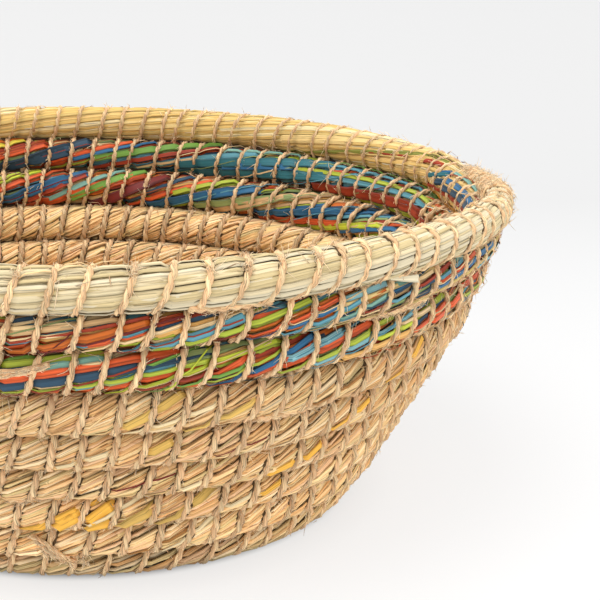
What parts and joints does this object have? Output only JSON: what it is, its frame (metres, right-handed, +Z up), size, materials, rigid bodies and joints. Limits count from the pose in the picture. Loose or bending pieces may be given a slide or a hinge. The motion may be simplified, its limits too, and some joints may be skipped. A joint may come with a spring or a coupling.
{
  "type": "coiled basket bowl",
  "caption": "Round coiled grass bowl with a flaring wall, a pale straw rim, two dyed courses and jute stitching.",
  "frame": {"origin": "middle of the floor's underside, on the surface that the bowl stands on", "axes": "+Z up along the bowl's axis, +X towards the side where the bundle ends at the rim"},
  "size_m": [0.2687, 0.2689, 0.1074],
  "materials": {
    "natural_grass": "dry twisted grass, matt, tan to straw with dark gaps",
    "dyed_grass": "flat dyed blades in teal, blue, orange red, lime and cream, matt",
    "pale_straw": "straight pale straw stalks with a soft sheen",
    "jute_twine": "two-ply jute twine, hairy and matt"
  },
  "bodies": {
    "root": {"start_knot": "natural_grass", "base_coil": "natural_grass", "natural_course_1": "natural_grass", "natural_course_2": "natural_grass", "natural_course_3": "natural_grass", "natural_course_4": "natural_grass", "natural_course_5": "natural_grass", "dyed_course_lower": "dyed_grass", "dyed_course_upper": "dyed_grass", "rim_course": "pale_straw", "rim_end_whipping": "jute_twine", "twine_base": "jute_twine", "twine_natural_1": "jute_twine", "twine_natural_2": "jute_twine", "twine_natural_3": "jute_twine", "twine_natural_4": "jute_twine", "twine_natural_5": "jute_twine", "twine_dyed_lower": "jute_twine", "twine_dyed_upper": "jute_twine", "twine_rim": "jute_twine"}
  },
  "joints": []
}
